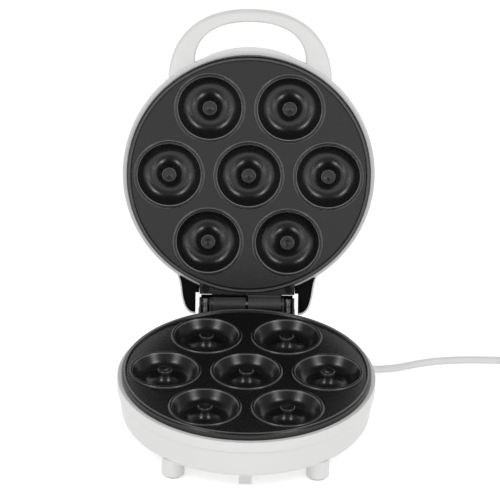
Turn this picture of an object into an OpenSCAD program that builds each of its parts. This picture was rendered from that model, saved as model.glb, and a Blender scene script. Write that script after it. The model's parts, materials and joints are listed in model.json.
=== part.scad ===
// Tabletop donut maker with seven rings: a round base and a round lid, each holding a cast
// cooking plate with seven ring moulds, hinged at the back. The lid is drawn standing open.
// Millimetres, +Z up, the front towards -Y, the table at z = 0.

/* [Ring moulds] */
// Distance between the centres of neighbouring moulds
cup_pitch = 65; // [63:0.5:68]
// Radius of a mould at its mouth
cup_r = 25.8; // [24:0.1:26.5]
// Radius of the post in the middle of a mould
post_r = 5.8; // [4.5:0.1:7]
// Depth of a mould below the flat of the plate
cup_depth = 8.4; // [7.5:0.1:9.5]
// Slope of the straight part of a mould's outer side
cup_slope = 57; // [50:1:62]
// Wall of a mould
cup_wall = 2.5; // [2:0.1:3]
// Width of the raised bead round a mould
bead_w = 3.2; // [2.8:0.1:3.6]

/* [Plates] */
// Thickness of the plates between the moulds
plate_t = 3; // [2.5:0.1:3.5]
// Height of the rim, the beads and the posts above the flat
bead_h = 1.5; // [1.3:0.05:1.6]
// Flat left between the outer beads and the rim
plate_margin = 1.8; // [1.4:0.1:3]
// Width of the raised rim
rim_w = 4; // [3.5:0.1:5]
// Depth of the skirt below the flat, which lifts the plate off the housing
skirt_h = 4; // [3.5:0.1:5]
// Thickness of the skirt
skirt_w = 3; // [2.5:0.1:3.3]
// Height of the hinge axis above the lower plate's flat, half the gap of the closed plates
plate_gap = 1.7; // [1.65:0.05:2]

/* [Base] */
// Rim of the white housing that shows round the plate
rim_show = 3.3; // [3:0.1:4.5]
// Height of the bottom of the base above the table
foot_h = 14.5; // [13:0.5:16]
// Height of the base housing from its bottom to its rim
base_h = 34.5; // [33:0.5:38]
// Draft of the base wall, how much smaller its bottom radius is than its rim
base_draft = 3.5; // [3:0.5:6]
// Height of the band round the rim of the base
band_h = 9; // [7:0.5:12]
// Step from the band in to the wall
band_step = 0.9; // [0.5:0.1:1.2]
// Wall of the moulded housings
wall = 2.5; // [2:0.1:3]
// Radius of a foot
foot_r = 9; // [8.5:0.1:9.5]
// Width of the small centre foot at the front
centre_foot_w = 9.8; // [8:0.2:12]

/* [Lid] */
// Angle to which the lid stands open
open_angle = 103; // [98:0.5:104]
// Radius of the shallow crown of the lid
crown_r = 260; // [240:1:300]
// Radius of the rounding between the lid's side and its crown
corner_r = 18; // [17:0.5:20]
// Height of the straight side of the lid
lid_side = 3; // [2.5:0.1:4]
// Width of each ear beside the hinge
ear_w = 11.5; // [10:0.5:13]
// How far the ears reach behind the hinge axis
ear_reach = 11.3; // [10:0.1:12]
// Gap between an ear and the hinge bracket
ear_gap = 3.2; // [3:0.1:4]
// Wall of the ears
ear_wall = 1.4; // [1.2:0.1:1.8]
// How far the lip under the handle stands out from the rim
lip_out = 3.3; // [2.5:0.1:4]

/* [Handle] */
// Half the width of the handle
handle_a = 66.7; // [64.5:0.1:69]
// How far the handle reaches in front of the rim
handle_reach = 33; // [30:0.5:36]
// Width of the handle at its crown
handle_w = 10; // [9:0.1:12]
// Width of each arm of the handle
handle_arm = 21.7; // [20:0.1:24]
// Thickness of the handle
handle_t = 11.5; // [10:0.5:13]
// Rounding of the handle's edges
handle_round = 3.5; // [2.5:0.1:4.5]

/* [Hinge] */
// Distance of the hinge axis behind the rim
hinge_back = 5; // [5:0.1:6]
// Radius of the knuckles
knuckle_r = 5; // [4.5:0.1:5]
// Length of each knuckle
knuckle_l = 27.4; // [26:0.2:30]
// Radius of the hinge pin
pin_r = 2; // [1.8:0.1:2.3]
// Thickness of the bracket's inner cheeks
cheek_t = 1.8; // [1.6:0.1:2.2]
// Thickness of the bracket's outer cheeks
outer_cheek_t = 1.5; // [1.4:0.1:2]
// Radius of the steel sleeves that guard the leads across the hinge
sleeve_r = 3.2; // [3:0.1:3.4]

/* [Heating] */
// Diameter of the tubular heating elements
element_d = 7; // [6.5:0.1:7.5]
// Opening of the element ring, in degrees, where its legs go through the pan
element_gap = 24; // [20:1:30]
// Radius to which the legs of the elements are bent
element_bend = 5; // [4.5:0.5:6]
// Thickness of the reflector pans
pan_t = 0.8; // [0.6:0.1:1]
// How far the flat of a reflector pan reaches beyond the middle of its element
pan_margin = 15; // [13:0.5:16]

/* [Mains lead] */
// Diameter of the mains lead
cord_d = 6; // [5.5:0.1:6.2]
// Direction in which the lead leaves the base, from the right-hand side towards the back
exit_angle = 35; // [33:0.5:37]
// Angle at which the sleeve on the lead droops
relief_drop = 24; // [20:1:26]
// Length of the tapered sleeve where the lead leaves
relief_l = 20; // [20:0.5:24]
// Radius of the plug's face
plug_r = 18.5; // [18:0.1:19]

/* [Hidden] */
$fn = 96;
// Clearances: pieces set into each other, screws in their holes, the running fit of the hinge,
// neighbouring hinge pieces, bosses and cheeks beside what they guide
seat_clear = 0.2;
screw_clear = 0.1;
run_clear = 0.05;
hinge_side_clear = 0.3;
channel_clear = 0.25;

// Screws: the small ones of the plates, pans and bracket, and the larger ones of the lid
boss_bore = 1.6;
screw_head_r = 3;
screw_head_h = 2;
pan_screw_l = 9;
bracket_screw_l = 8;
bracket_head_r = 2.1;
bracket_head_h = 1.4;
tab_screw_l = 11;
tab_recess = 1;
tab_screw_head = 3.4;
handle_screw_r = 1.75;
handle_screw_l = 15;

// Plates. A mould is a round trough between its post and a straight outer side.
trough_r = (cup_r - post_r - cup_depth / tan(cup_slope))
    / (1 + sin(cup_slope) - (1 - cos(cup_slope)) / tan(cup_slope));
trough_at = [post_r + trough_r, trough_r - cup_depth];
post_round = 0.6;
post_dish = 3.4;
edge_round = 1;
rim_slope = 0.8;
plate_r = cup_pitch + cup_r + bead_w + plate_margin + rim_w;
seat_gap = 0.3;
seat_r = plate_r - rim_w - seat_gap;
element_clear = 0.1;
stack_h = cup_depth + cup_wall + element_d + element_clear;
between_r = cup_pitch / (2 * cos(30));
boss_r = 4;
boss_skin = 3;
boss_angles = [30, 150, 270];

// Reflector pans
pan_rise = 9;
pan_flare = 10;
pan_hole = 4;

// Housings
shell_r = plate_r + rim_show;
base_z = foot_h;
rim_z = base_z + base_h;
plate_z = rim_z + skirt_h;
flange_t = 2;
bottom_r = shell_r - base_draft;
bottom_round = 6;
cover_inset = 20.6;
cover_r = bottom_r - cover_inset;
cover_lip = 3.3;
cover_t = 1.2;
floor_t = 3;
cover_post_r = 5.5;
plate_head_z = base_z + 5;
vent = [2.4, 26];
vent_at = [48, -48];

// Hinge, its axis along X
hinge_y = shell_r + hinge_back;
hinge_z = plate_z + plate_gap;
knuckle_x = 0.9;
cheek_gap = 0.6;
cheek_x = knuckle_x + knuckle_l + cheek_gap;
channel_w = 2 * (sleeve_r + channel_clear);
sleeve_x = cheek_x + cheek_t + channel_w / 2;
block_x = cheek_x + cheek_t + channel_w + outer_cheek_t;
cheek_r = knuckle_r - 0.2;
tab_edge = knuckle_r + 2;
shelf_drop = 10;
shelf_top = hinge_z - shelf_drop;
shelf_x = block_x + 0.8;
shelf_h = 20;
shelf_back = 14;
shelf_round = 6;
bracket_t = 2.5;
bracket_y = shell_r + 0.6;
bracket_screw_at = [20, 8.2];
bracket_boss_h = 12;
stop_rib = [10.5, 13];
sleeve_bend = 4;
sleeve_drop = 0.5;
sleeve_pitch = 1.5;

// Lid, measured from the hinge axis up when closed
lid_rim = plate_gap + skirt_h;
corner_z = lid_rim + lid_side;
crown_z = corner_z - sqrt(pow(crown_r - corner_r, 2) - pow(shell_r - corner_r, 2));
ear_in = block_x + ear_gap;
ear_end = hinge_y + ear_reach;
ear_round = 6;
ear_drop = 0.4;
ear_sink = 0.4;
ear_root = 5.5;
insert_t = 8;
tab_x = block_x - 0.1;
tab_screw = [tab_x - 5, hinge_y - tab_edge - 4.2];
tab_boss_h = 11;
lip_r = 81;
lip_h = 9;
lens_r = 4;
lens_h = 6.2;
lamp_places = [[-9, -45], [9, -45]];

// Handle: its outline and its opening are both rounded like this power of an ellipse
handle_power = 2.3;
handle_z = lid_rim + 0.8;
handle_centre = 29.3 - shell_r;
grip_centre = 10.4 - shell_r;
handle_screw_z = lid_rim + 6.5;
handle_screw_angle = 29;

// The open lid reaches furthest back where its crown faces straight back
lid_back = hinge_y - hinge_y * cos(open_angle) + crown_z * sin(open_angle) + crown_r;
plate_y = (shell_r - lid_back) / 2;

// Feet: two in front, two set further back and closer together, which hold the open lid
foot_ring = bottom_r - foot_r - 0.1;
foot_angles = [-129, -51, 66, 114];
centre_foot_in = 14.4;
centre_foot_d = 8;
foot_names = ["front_left_pad", "front_right_pad", "rear_right_pad", "rear_left_pad"];
pad_inset = 1.5;
pad_r = foot_r - pad_inset;
pad_h = 3.2;
foot_gap = 1.4;

// Mains lead. The route is measured from the middle of the plates, along the table.
cord_r = cord_d / 2;
relief_neck = cord_r + 1.5;
relief_grip = 1.4;
relief_collar = 2;
exit_rise = 10;
exit_z = base_z + exit_rise;
relief_pad = bottom_r + 2.2;
relief_seat = bottom_r - 6.6;
block_r = 46;
block_size = [15, 30, 11];
clamp_size = [7, 22];
clamp_back = 25.8;
clamp_screw_y = 7.5;
clamp_screw_r = 1.4;
clamp_head = [2.4, 1.4];
clamp_bar = 1.5;
relief_out = relief_pad + relief_collar + relief_l * cos(relief_drop);
relief_end = [relief_out * cos(exit_angle), relief_out * sin(exit_angle),
              exit_z - relief_l * sin(relief_drop)];
cord_route = [[105, 73.7, 13.6], [110, 77.6, 11.4], [115, 82, 9.3], [121, 87.3, 6.9],
              [127, 92.3, 5], [134, 97.2, 3.7], [143, 102, 3.1], [157, 106.3, 3.1],
              [173, 108.6, 3.1], [190, 109.6, 3.1], [207, 109.4, 3.1], [224, 108.4, 3.1],
              [241, 107.2, 3.1], [257, 106.3, 3.1]];
coil_at = [275, 70];
coil_turn_r = 33;
tail_route = [[308.5, 55, 9], [309, 46, 11], [309.5, 37, 14], [310, 29, 16.8],
              [310, 21, 18.4], [310, 15, 18.6]];
coil_h = 11.4;
tie_t = 0.9;
plug_l = 55;
plug_shoulder = 37;
plug_neck = [[4.5, 0], [6.5, 16], [11, 24], [13, 34]];
plug_edge = 1;
plug_slot = 4;
plug_slot_w = 6;
plug_pin_r = 2.4;
plug_pin_l = 23;
plug_pin_y = 9.5;
plug_pin_in = 4;

white = [0.93, 0.93, 0.92];
black = [0.1, 0.1, 0.105];
steel = [0.72, 0.72, 0.74];
ceramic = [0.88, 0.86, 0.8];
rubber = [0.45, 0.45, 0.46];

// ---------- frames ----------

module at_base() {
    translate([0, plate_y, 0]) children();
}

module at_lid() {
    translate([0, plate_y + hinge_y, hinge_z]) rotate([-open_angle, 0, 0])
        translate([0, -hinge_y, 0]) children();
}

// The plates are drawn with their flat at z = 0 and their back below it
module at_lower_plate() {
    at_base() translate([0, 0, plate_z]) children();
}

module at_upper_plate() {
    at_lid() translate([0, 0, plate_gap]) mirror([0, 0, 1]) children();
}

// ---------- helpers ----------

function arc(centre, r, from, to, steps) =
    [for (i = [0:steps]) centre + r * [cos(from + (to - from) * i / steps),
                                       sin(from + (to - from) * i / steps)]];

function bezier(p, steps) =
    [for (i = [0:steps]) let (t = i / steps, s = 1 - t)
        s * s * s * p[0] + 3 * s * s * t * p[1] + 3 * s * t * t * p[2] + t * t * t * p[3]];

function unit(v) = v / norm(v);

// A profile in the YZ plane, extruded from x0 to x1
module along_x(x0, x1) {
    translate([x0, 0, 0]) rotate([90, 0, 90]) linear_extrude(x1 - x0) children();
}

module rod_x(x0, x1, r) {
    translate([x0, 0, 0]) rotate([0, 90, 0]) cylinder(h = x1 - x0, r = r);
}

module mirrored() {
    children();
    mirror([1, 0, 0]) children();
}

module cup_places() {
    children();
    for (i = [0:5]) rotate(60 * i) translate([cup_pitch, 0, 0]) children();
}

module boss_places() {
    for (a = boss_angles) rotate(a) translate([between_r, 0, 0]) children();
}

module exit_axis() {
    translate([0, 0, exit_z]) rotate([0, 0, exit_angle]) rotate([0, 90, 0]) children();
}

// A closed skin over a row of rings that have the same number of points
module skin(rings) {
    n = len(rings);
    sides = len(rings[0]);
    walls = [for (i = [0:n - 2], k = [0:sides - 1])
        let (a = i * sides + k, b = i * sides + (k + 1) % sides)
        [a, b, b + sides, a + sides]];
    ends = [[for (k = [sides - 1:-1:0]) k], [for (k = [0:sides - 1]) (n - 1) * sides + k]];
    polyhedron([for (ring = rings, point = ring) point], concat(walls, ends));
}

// A round tube swept along points, one ring at each point, square to the route there
module swept_tube(points, r, sides) {
    n = len(points);
    tangents = [for (i = [0:n - 1])
        unit(points[min(i + 1, n - 1)] - points[max(i - 1, 0)])];
    skin([for (i = [0:n - 1])
        let (across = unit(cross(tangents[i], [0, 0, 1])), up = cross(across, tangents[i]))
        [for (k = [0:sides - 1])
            points[i] + r * (cos(360 * k / sides) * across + sin(360 * k / sides) * up)]]);
}

// ---------- plates ----------

module plate_disc() {
    rim_in = plate_r - rim_w;
    skirt_in = plate_r - skirt_w;
    rotate_extrude() polygon([[0, -plate_t], [0, 0], [rim_in, 0], [rim_in + rim_slope, bead_h],
        [plate_r - edge_round, bead_h], [plate_r, bead_h - edge_round], [plate_r, -skirt_h],
        [skirt_in, -skirt_h], [skirt_in, -plate_t]]);
}

// Where a mould's round trough runs on into its straight outer side
function trough_end(r) = trough_at + r * [sin(cup_slope), -cos(cup_slope)];

// The point of that straight side at a height
function side_at(from, z) = [from[0] + (z - from[1]) / tan(cup_slope), z];

// The back of one mould, with its post and the half-round bead at its mouth
module cup_body() {
    back = -cup_depth - cup_wall;
    under = -plate_t / 2;
    side = trough_end(trough_r + cup_wall);
    bead_r = (pow(bead_w / 2, 2) + pow(bead_h, 2)) / (2 * bead_h);
    rotate_extrude() {
        intersection() {
            translate(trough_at) circle(trough_r + cup_wall);
            translate([0, back]) square([cup_r + cup_wall, under - back]);
        }
        polygon([trough_at - [0, trough_r], side, side_at(side, under), [trough_at[0], under]]);
        translate([0, back]) square([trough_at[0], bead_h - back]);
        intersection() {
            translate([cup_r + bead_w / 2, bead_h - bead_r]) circle(bead_r);
            translate([cup_r - bead_w, under]) square([3 * bead_w, bead_h - under + 1]);
        }
    }
}

// The ring-shaped hollow of one mould round its post, and the shallow dish in the post's top
module cup_hollow() {
    above = bead_h + 1;
    post_in = post_r - post_round;
    shoulder = bead_h - post_round;
    foot = min(trough_at[1], shoulder - 0.2);
    rotate_extrude() {
        translate(trough_at) circle(trough_r);
        polygon([trough_at, [post_r, foot], [post_r, shoulder], [post_in, bead_h],
            [post_in, above], side_at(trough_end(trough_r), above), trough_end(trough_r)]);
        polygon([[0, bead_h - post_round], [post_dish, bead_h], [post_dish, above], [0, above]]);
    }
}

module plate_casting() {
    difference() {
        union() {
            plate_disc();
            cup_places() cup_body();
            boss_places() translate([0, 0, -stack_h]) cylinder(h = stack_h - 1, r = boss_r);
        }
        cup_places() cup_hollow();
        boss_places() translate([0, 0, -stack_h - 1])
            cylinder(h = stack_h + 1 - boss_skin, r = boss_bore + screw_clear);
    }
}

module lower_plate() {
    color(black) at_lower_plate() plate_casting();
}

// The tab behind the upper plate ends in the lid's knuckle, and a hook at the front goes over
// the housing's flange
module upper_plate() {
    tab_y = sqrt(pow(plate_r, 2) - pow(tab_x, 2)) - 1;
    hook_top = lid_rim + flange_t + 2.4 - plate_gap;
    color(black) at_upper_plate() difference() {
        union() {
            plate_casting();
            translate([-tab_x, tab_y, -skirt_h])
                cube([2 * tab_x, hinge_y - tab_edge - tab_y, skirt_h]);
            translate([0, hinge_y, plate_gap]) {
                rod_x(knuckle_x, knuckle_x + knuckle_l, knuckle_r);
                along_x(knuckle_x, knuckle_x + knuckle_l)
                    polygon([[-tab_edge - 1, -2], [-tab_edge - 1, -lid_rim + 0.2],
                        [0, -knuckle_r], [3, 0], [-3, -2]]);
            }
            translate([-8, -seat_r + 0.6, -hook_top]) cube([16, 3, hook_top - 1]);
            translate([-8, -seat_r - 3, -hook_top]) cube([16, 4, 2.2]);
        }
        translate([0, hinge_y, plate_gap]) rod_x(0, block_x, pin_r + run_clear);
        mirrored() translate([tab_screw[0], tab_screw[1], -skirt_h - 1]) {
            cylinder(h = skirt_h + 2, r = boss_bore + screw_clear);
            translate([0, 0, skirt_h + 1 - tab_recess]) cylinder(h = 3, r = tab_screw_head);
        }
    }
}

// ---------- heating ----------

// Where the legs of an element go through the pan
module element_leg_places() {
    mirrored() rotate(90 - element_gap / 2) translate([cup_pitch, element_bend, 0]) children();
}

// A tube bent to a ring that lies against the backs of the moulds, with two legs and their pins
module heating_element() {
    r = element_d / 2;
    leg_l = element_bend + 2.5;
    pin_l = 1.5;
    from = 90 + element_gap / 2;
    translate([0, 0, -cup_depth - cup_wall - r]) {
        rotate(from) rotate_extrude(angle = 360 - element_gap) translate([cup_pitch, 0]) circle(r);
        element_leg_places() {
            translate([0, -element_bend, -element_bend]) rotate([90, 0, 90])
                rotate_extrude(angle = 90) translate([element_bend, 0]) circle(r);
            translate([0, 0, -leg_l]) cylinder(h = leg_l - element_bend, r = r);
            translate([0, 0, -leg_l - pin_l]) cylinder(h = pin_l + 1, r = 1.2);
        }
    }
}

module lower_element() {
    color(steel) at_lower_plate() heating_element();
}

module upper_element() {
    color(steel) at_upper_plate() heating_element();
}

// A shallow sheet pan behind the element, with holes for its legs, the screws and the leads
module reflector_pan() {
    pan_r = cup_pitch + pan_margin;
    difference() {
        translate([0, 0, -stack_h]) rotate_extrude() polygon([[0, -pan_t], [pan_r, -pan_t],
            [pan_r + pan_flare, pan_rise - pan_t], [pan_r + pan_flare, pan_rise],
            [pan_r - pan_t / 2, 0], [0, 0]]);
        element_leg_places() translate([0, 0, -stack_h - 2]) cylinder(h = 4, r = element_d / 2 + 1);
        boss_places() translate([0, 0, -stack_h - 2]) cylinder(h = 4, r = boss_bore + 0.3);
        rotate(90) translate([between_r, 0, -stack_h - 2]) cylinder(h = 4, r = pan_hole);
    }
}

module lower_pan() {
    color(steel) at_lower_plate() reflector_pan();
}

module upper_pan() {
    color(steel) at_upper_plate() reflector_pan();
}

// Short screws that hold the upper pan to the plate's bosses
module pan_screws() {
    color(steel) at_upper_plate() boss_places() translate([0, 0, -stack_h - pan_t]) {
        translate([0, 0, -screw_head_h]) cylinder(h = screw_head_h, r = screw_head_r);
        translate([0, 0, -1]) cylinder(h = 1 + pan_screw_l, r = boss_bore);
    }
}

// Long screws from under the base, through the cover's posts and the pan into the plate
module plate_screws() {
    tip = plate_z - stack_h + pan_screw_l;
    color(steel) at_base() boss_places() translate([0, 0, plate_head_z]) {
        translate([0, 0, -screw_head_h]) cylinder(h = screw_head_h, r = screw_head_r);
        translate([0, 0, -1]) cylinder(h = tip + 1 - plate_head_z, r = boss_bore);
    }
}

// Bimetal thermostat on the back of the lower plate, between the moulds
module thermostat() {
    color(ceramic) at_lower_plate() rotate(90) translate([between_r, 0, -plate_t]) {
        translate([0, 0, -6]) cylinder(h = 6, r = 7.5);
        translate([0, 0, -9.5]) cylinder(h = 4, r = 5.5);
        for (x = [-3, 3]) translate([x - 0.4, -1.6, -14]) cube([0.8, 3.2, 5]);
    }
}

module thermal_fuse() {
    color(ceramic) at_lower_plate() translate([0, -8, -stack_h - pan_t - 2.6])
        rod_x(-14, 14, 2.4);
}

// A strap that holds the fuse against the pan
module fuse_clip() {
    axis = -2.6;
    color(steel) at_lower_plate() translate([0, -8, -stack_h - pan_t]) along_x(-3, 3)
        difference() {
            intersection() {
                union() {
                    translate([0, axis]) circle(3.2);
                    translate([-3.2, axis]) square([6.4, -axis]);
                    translate([-8, -0.8]) square([16, 0.8]);
                }
                translate([-10, -10]) square([20, 10]);
            }
            translate([0, axis]) circle(2.4 + screw_clear);
            translate([-2.4 - screw_clear, axis]) square([4.8 + 2 * screw_clear, 5]);
        }
}

// ---------- base ----------

// The tapered tub, smaller all round by the inset, from z0 up to the rim
module base_tub(inset, z0, z1) {
    round = max(bottom_round - inset, 0.5);
    top = [shell_r - band_step - inset, rim_z - band_h];
    corner = [bottom_r - inset - round, z0 + round];
    rotate_extrude() polygon(concat([[0, z0]], arc(corner, round, -90, 0, 6),
        [top, [top[0], z1], [0, z1]]));
}

// Outline of the hinge shelf behind the base
module shelf_outline(inset) {
    round = shelf_round - inset;
    back = hinge_y + shelf_back - inset;
    side = shelf_x - inset;
    polygon(concat([[-side, 60], [side, 60]], arc([side - round, back - round], round, 0, 90, 8),
        arc([-side + round, back - round], round, 90, 180, 8)));
}

// Where the hinge bracket is screwed down, between its knuckle's web and its rib
module bracket_screw_places() {
    mirrored() translate([bracket_screw_at[0], hinge_y + bracket_screw_at[1], shelf_top])
        children();
}

module foot_places() {
    for (a = foot_angles) rotate(a) translate([foot_ring, 0, 0]) children();
}

module base_shell() {
    color(white) at_base() difference() {
        union() {
            difference() {
                union() {
                    base_tub(0, base_z, rim_z - 0.5);
                    translate([0, 0, rim_z - band_h]) cylinder(h = band_h, r = shell_r);
                    translate([0, 0, shelf_top - shelf_h]) linear_extrude(shelf_h)
                        shelf_outline(0);
                }
                base_tub(wall, base_z + wall, rim_z - flange_t);
                translate([0, 0, shelf_top - shelf_h + wall])
                    linear_extrude(shelf_h - 2 * wall) shelf_outline(wall);
            }
            foot_places() translate([0, 0, foot_gap])
                cylinder(h = base_z + wall - foot_gap, r = foot_r);
            translate([-centre_foot_w / 2, centre_foot_in - bottom_r, 0.2])
                cube([centre_foot_w, centre_foot_d, base_z + 1]);
            intersection() {
                exit_axis() translate([0, 0, relief_seat])
                    cylinder(h = relief_pad - relief_seat, r = relief_neck + 4);
                translate([0, 0, base_z + 0.5]) cylinder(h = base_h, r = relief_pad + 5);
            }
            bracket_screw_places() translate([0, 0, -bracket_boss_h])
                cylinder(h = bracket_boss_h, r = boss_r);
        }
        translate([0, 0, rim_z - flange_t - 1]) cylinder(h = flange_t + 2, r = seat_r);
        translate([0, 0, base_z - 1]) cylinder(h = wall + 2, r = cover_r - cover_lip);
        translate([0, 0, base_z - 1]) cylinder(h = cover_t + 1, r = cover_r + seat_clear);
        foot_places() cylinder(h = pad_h + 0.1, r = pad_r + screw_clear);
        exit_axis() translate([0, 0, relief_seat - 1])
            cylinder(h = 20, r = relief_neck + seat_clear);
        mirrored() translate([sleeve_x, hinge_y, shelf_top - wall - 1])
            cylinder(h = wall + 2, r = sleeve_r + screw_clear);
        bracket_screw_places() translate([0, 0, -bracket_screw_l - 1])
            cylinder(h = bracket_screw_l + 2, r = boss_bore + screw_clear);
    }
}

// The cover under the base, with the posts that the long screws go through and vents
module bottom_cover() {
    post_top = plate_z - stack_h - pan_t;
    color(white) at_base() difference() {
        union() {
            translate([0, 0, base_z]) cylinder(h = cover_t, r = cover_r);
            translate([0, 0, base_z]) cylinder(h = floor_t, r = cover_r - cover_lip - seat_clear);
            boss_places() translate([0, 0, base_z])
                cylinder(h = post_top - base_z, r = cover_post_r);
        }
        boss_places() {
            translate([0, 0, base_z - 1]) cylinder(h = plate_head_z + 1 - base_z,
                r = screw_head_r + seat_clear);
            cylinder(h = rim_z, r = boss_bore + screw_clear);
        }
        for (side = [-1, 1], i = [-2:2])
            translate([side * vent_at[0] + (2 * i - 0.5) * vent[0], vent_at[1], base_z - 1])
                cube([vent[0], vent[1], floor_t + 2]);
    }
}

module foot_pad(i) {
    color(rubber) at_base() rotate(foot_angles[i]) translate([foot_ring, 0, 0])
        cylinder(h = pad_h, r = pad_r);
}

// ---------- mains ----------

// Connector block on the cover, in line with the lead
module terminal_block() {
    top = plate_z - stack_h - pan_t - 1;
    size = [block_size[0], block_size[1], min(top - base_z - floor_t, block_size[2])];
    color(ceramic) at_base() rotate(exit_angle)
        translate([block_r, -size[1] / 2, base_z + floor_t]) difference() {
            cube(size);
            for (i = [-1, 1]) translate([-1, size[1] / 2 + i * size[1] / 3, size[2] * 0.6])
                rotate([0, 90, 0]) cylinder(h = size[0] + 2, r = cord_r * 0.6);
        }
}

// The lead's own end inside, from the clamp to the connector block
module inner_lead() {
    from = block_r + block_size[0];
    color(white) at_base() exit_axis() translate([0, 0, from])
        cylinder(h = relief_seat - 2 - from, r = cord_r);
}

module clamp_frame() {
    at_base() rotate(exit_angle) translate([relief_pad - clamp_back, 0, base_z + floor_t])
        children();
}

module clamp_screw_places() {
    for (side = [-1, 1]) translate([0, side * clamp_screw_y, 0]) children();
}

// Height of the lead's centre above the cover, and of the clamp that grips it
clamp_rest = exit_z - base_z - floor_t;
clamp_top = clamp_rest + cord_r + clamp_bar;

module cord_clamp() {
    color(white) clamp_frame() difference() {
        translate([-clamp_size[0] / 2, -clamp_size[1] / 2, 0])
            cube([clamp_size[0], clamp_size[1], clamp_top]);
        translate([-clamp_size[0], 0, clamp_rest]) rotate([0, 90, 0])
            cylinder(h = 2 * clamp_size[0], r = cord_r + 0.05);
        clamp_screw_places() translate([0, 0, 0.5])
            cylinder(h = clamp_top, r = clamp_screw_r + screw_clear);
    }
}

module clamp_screws() {
    color(steel) clamp_frame() clamp_screw_places() {
        translate([0, 0, clamp_top]) cylinder(h = clamp_head[1], r = clamp_head[0]);
        translate([0, 0, clamp_bar]) cylinder(h = clamp_top - 1, r = clamp_screw_r);
    }
}

// Grommet in the wall, with a tapered sleeve that droops with the lead
module strain_relief() {
    tip_r = relief_neck - 0.4;
    color(white) at_base() exit_axis() {
        translate([0, 0, relief_seat - 2]) cylinder(h = 2, r = relief_neck + relief_grip);
        translate([0, 0, relief_seat - 1]) cylinder(h = relief_pad + 2 - relief_seat,
            r = relief_neck);
        translate([0, 0, relief_pad]) cylinder(h = relief_collar, r = relief_neck + 2.5);
        translate([0, 0, relief_pad + relief_collar]) {
            sphere(tip_r);
            rotate([0, relief_drop, 0]) relief_sleeve(tip_r, cord_r + 0.7);
        }
    }
}

// Tapered sleeve with ribs, widest at the housing
module relief_sleeve(r0, r1) {
    ribs = 6;
    step = relief_l / ribs;
    rotate_extrude() polygon(concat([[0, 0]],
        [for (i = [0:ribs - 1], k = [0:1]) let (r = r0 + (r1 - r0) * i / ribs)
            [k == 0 ? r : r - 0.1, step * (i + k * 0.6)]],
        [for (i = [ribs - 1]) [r1 - 0.3, step * (i + 0.65)]],
        [[r1 - 0.3, relief_l], [0, relief_l]]));
}

module power_cord() {
    color(white) at_base() swept_tube(concat([relief_end], cord_route), cord_r, 8);
}

// Outer shape of the coiled lead: two turns side by side and one lying on them
module coil_section(grow) {
    low = cord_d + grow;
    under = max(0.1 - grow, 0);
    shoulder = coil_h / 2 - 0.7;
    polygon([[coil_turn_r - low, under], [coil_turn_r + low, under],
        [coil_turn_r + low, shoulder], [coil_turn_r + cord_r + grow, coil_h + grow],
        [coil_turn_r - cord_r - grow, coil_h + grow], [coil_turn_r - low, shoulder]]);
}

module cord_coil() {
    color(white) at_base() translate([coil_at[0], coil_at[1], 0])
        rotate_extrude() coil_section(0);
}

module cord_tie() {
    color(black) at_base() translate([coil_at[0], coil_at[1], 0]) rotate(174)
        rotate_extrude(angle = 12) difference() {
            coil_section(tie_t);
            coil_section(0.1);
        }
}

module cord_tail() {
    color(white) at_base() swept_tube(tail_route, cord_r, 8);
}

// The plug lies on the side of its round face, its pins towards the front
module at_plug() {
    at_base() translate(tail_route[len(tail_route) - 1]) rotate([90, 0, 0]) children();
}

module plug_body() {
    color(white) at_plug() difference() {
        rotate_extrude() polygon(concat([[0, 0]], plug_neck,
            [[plug_r - plug_edge, plug_shoulder], [plug_r, plug_shoulder + 2],
             [plug_r, plug_l - plug_edge], [plug_r - plug_edge, plug_l], [0, plug_l]]));
        for (side = [0, 180]) rotate(side)
            translate([plug_r - plug_slot + 1, -plug_slot_w / 2, plug_shoulder + 3])
                cube([2 * plug_slot, plug_slot_w, plug_l]);
        plug_pin_places() cylinder(h = plug_pin_in + 1, r = plug_pin_r + screw_clear / 2);
    }
}

module plug_pin_places() {
    for (side = [-1, 1]) translate([0, side * plug_pin_y, plug_l - plug_pin_in]) children();
}

module plug_pins() {
    color(steel) at_plug() plug_pin_places() cylinder(h = plug_pin_l, r = plug_pin_r);
}

module plug_earth_clips() {
    color(steel) at_plug() for (side = [0, 180]) rotate(side)
        translate([plug_r - plug_slot + 1, -plug_slot_w / 3, plug_shoulder + 3])
            cube([1.2, plug_slot_w * 2 / 3, plug_l - plug_shoulder - 5]);
}

// ---------- hinge ----------

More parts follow.
